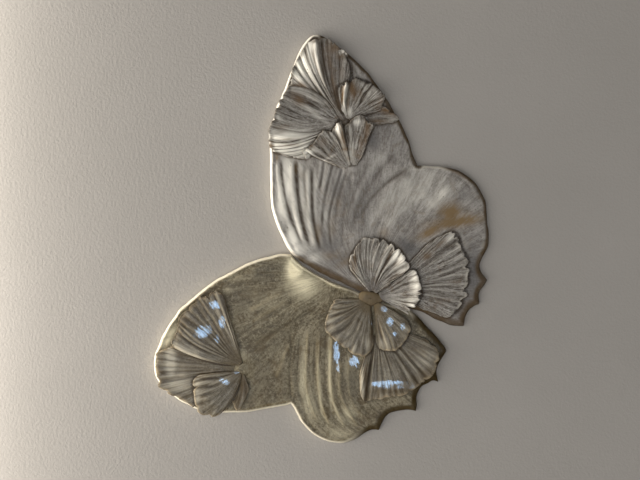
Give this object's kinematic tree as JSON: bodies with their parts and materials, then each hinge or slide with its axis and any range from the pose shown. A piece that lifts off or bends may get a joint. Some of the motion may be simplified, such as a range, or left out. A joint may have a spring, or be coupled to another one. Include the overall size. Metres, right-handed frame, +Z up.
{
  "type": "ceramic butterfly wall ornament",
  "caption": "Handmade stoneware butterfly wall ornament in two glazed wing slabs, white and olive, with pleated clay leaf fans on their front and nail rings in their hollow backs.",
  "frame": {"origin": "the hub where the two halves meet, on the wall side: a point on the flat back rim of the white wing", "axes": "+X to the right seen from the front, +Z up as the ornament hangs, +Y from the ornament into the wall"},
  "size_m": [0.3688, 0.0321, 0.4478],
  "materials": {
    "white_glaze": "satin white-grey glaze, brown at the edges",
    "white_fan_glaze": "satin white-grey glaze, worn brown on the ridges",
    "olive_glaze": "glossy olive-tan glaze",
    "olive_fan_glaze": "glossy olive glaze, thin on the ridges",
    "bare_clay": "unglazed stoneware"
  },
  "bodies": {
    "root": {"white_wing": "white_glaze", "olive_wing": "olive_glaze", "tip_fan_under": "white_fan_glaze", "tip_fan_left": "white_fan_glaze", "tip_fan_top": "white_fan_glaze", "tip_fan_right": "white_fan_glaze", "tip_fan_front": "white_fan_glaze", "outer_fan": "white_fan_glaze", "hub_fan_right": "white_fan_glaze", "hub_fan_upper": "white_fan_glaze", "side_fan_under": "olive_fan_glaze", "side_fan_lower": "olive_fan_glaze", "side_fan_upper": "olive_fan_glaze", "lower_fan": "olive_fan_glaze", "hub_fan_left": "olive_fan_glaze", "hub_fan_lower": "olive_fan_glaze", "hub_pad": "olive_fan_glaze", "white_left_nail_ring": "bare_clay", "white_right_nail_ring": "bare_clay", "olive_left_nail_ring": "bare_clay", "olive_right_nail_ring": "bare_clay"}
  },
  "joints": []
}
